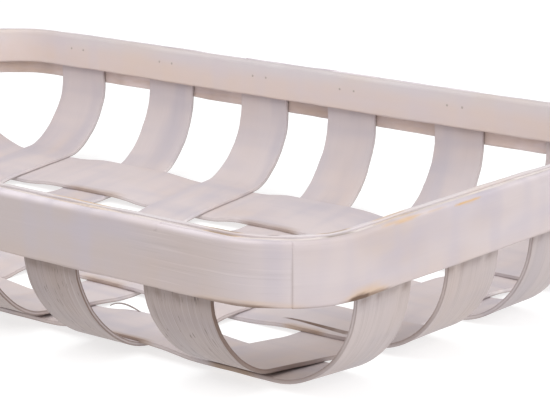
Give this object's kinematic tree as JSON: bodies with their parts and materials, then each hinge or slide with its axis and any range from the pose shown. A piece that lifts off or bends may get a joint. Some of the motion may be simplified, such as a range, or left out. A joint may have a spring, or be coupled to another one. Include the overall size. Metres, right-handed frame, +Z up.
{
  "type": "tray",
  "caption": "Shallow rectangular tray of open-woven flat bamboo strips, with round corners and a bent hoop rim that clamps the turned-up strip ends.",
  "frame": {"origin": "on the surface that the tray stands on, under the middle of its outline", "axes": "+X along the tray's length, +Y across it towards the back, +Z up"},
  "size_m": [0.45, 0.296, 0.0713],
  "materials": {
    "hoop_bamboo": "whitewashed thick split bamboo, satin, with bare orange-tan streaks along the worn edges",
    "filler_bamboo": "thinly whitewashed split bamboo, matt",
    "strip_bamboo": "whitewashed flat split bamboo, satin, with fine lengthwise grain and grey streaks",
    "brad_steel": "dull wire, painted over with the rim"
  },
  "bodies": {
    "root": {"outer_hoop_left": "hoop_bamboo", "outer_hoop_right": "hoop_bamboo", "inner_hoop": "hoop_bamboo", "rim_filler": "filler_bamboo", "cross_strip_1": "strip_bamboo", "cross_strip_2": "strip_bamboo", "cross_strip_3": "strip_bamboo", "cross_strip_4": "strip_bamboo", "cross_strip_5": "strip_bamboo", "cross_strip_6": "strip_bamboo", "long_strip_1": "strip_bamboo", "long_strip_2": "strip_bamboo", "long_strip_3": "strip_bamboo", "long_strip_4": "strip_bamboo", "brad_cross_1_front_a": "brad_steel", "brad_cross_1_front_b": "brad_steel", "brad_cross_1_back_a": "brad_steel", "brad_cross_1_back_b": "brad_steel", "brad_cross_2_front_a": "brad_steel", "brad_cross_2_front_b": "brad_steel", "brad_cross_2_back_a": "brad_steel", "brad_cross_2_back_b": "brad_steel", "brad_cross_3_front_a": "brad_steel", "brad_cross_3_front_b": "brad_steel", "brad_cross_3_back_a": "brad_steel", "brad_cross_3_back_b": "brad_steel", "brad_cross_4_front_a": "brad_steel", "brad_cross_4_front_b": "brad_steel", "brad_cross_4_back_a": "brad_steel", "brad_cross_4_back_b": "brad_steel", "brad_cross_5_front_a": "brad_steel", "brad_cross_5_front_b": "brad_steel", "brad_cross_5_back_a": "brad_steel", "brad_cross_5_back_b": "brad_steel", "brad_cross_6_front_a": "brad_steel", "brad_cross_6_front_b": "brad_steel", "brad_cross_6_back_a": "brad_steel", "brad_cross_6_back_b": "brad_steel", "brad_long_1_left_a": "brad_steel", "brad_long_1_left_b": "brad_steel", "brad_long_1_right_a": "brad_steel", "brad_long_1_right_b": "brad_steel", "brad_long_2_left_a": "brad_steel", "brad_long_2_left_b": "brad_steel", "brad_long_2_right_a": "brad_steel", "brad_long_2_right_b": "brad_steel", "brad_long_3_left_a": "brad_steel", "brad_long_3_left_b": "brad_steel", "brad_long_3_right_a": "brad_steel", "brad_long_3_right_b": "brad_steel", "brad_long_4_left_a": "brad_steel", "brad_long_4_left_b": "brad_steel", "brad_long_4_right_a": "brad_steel", "brad_long_4_right_b": "brad_steel"}
  },
  "joints": []
}
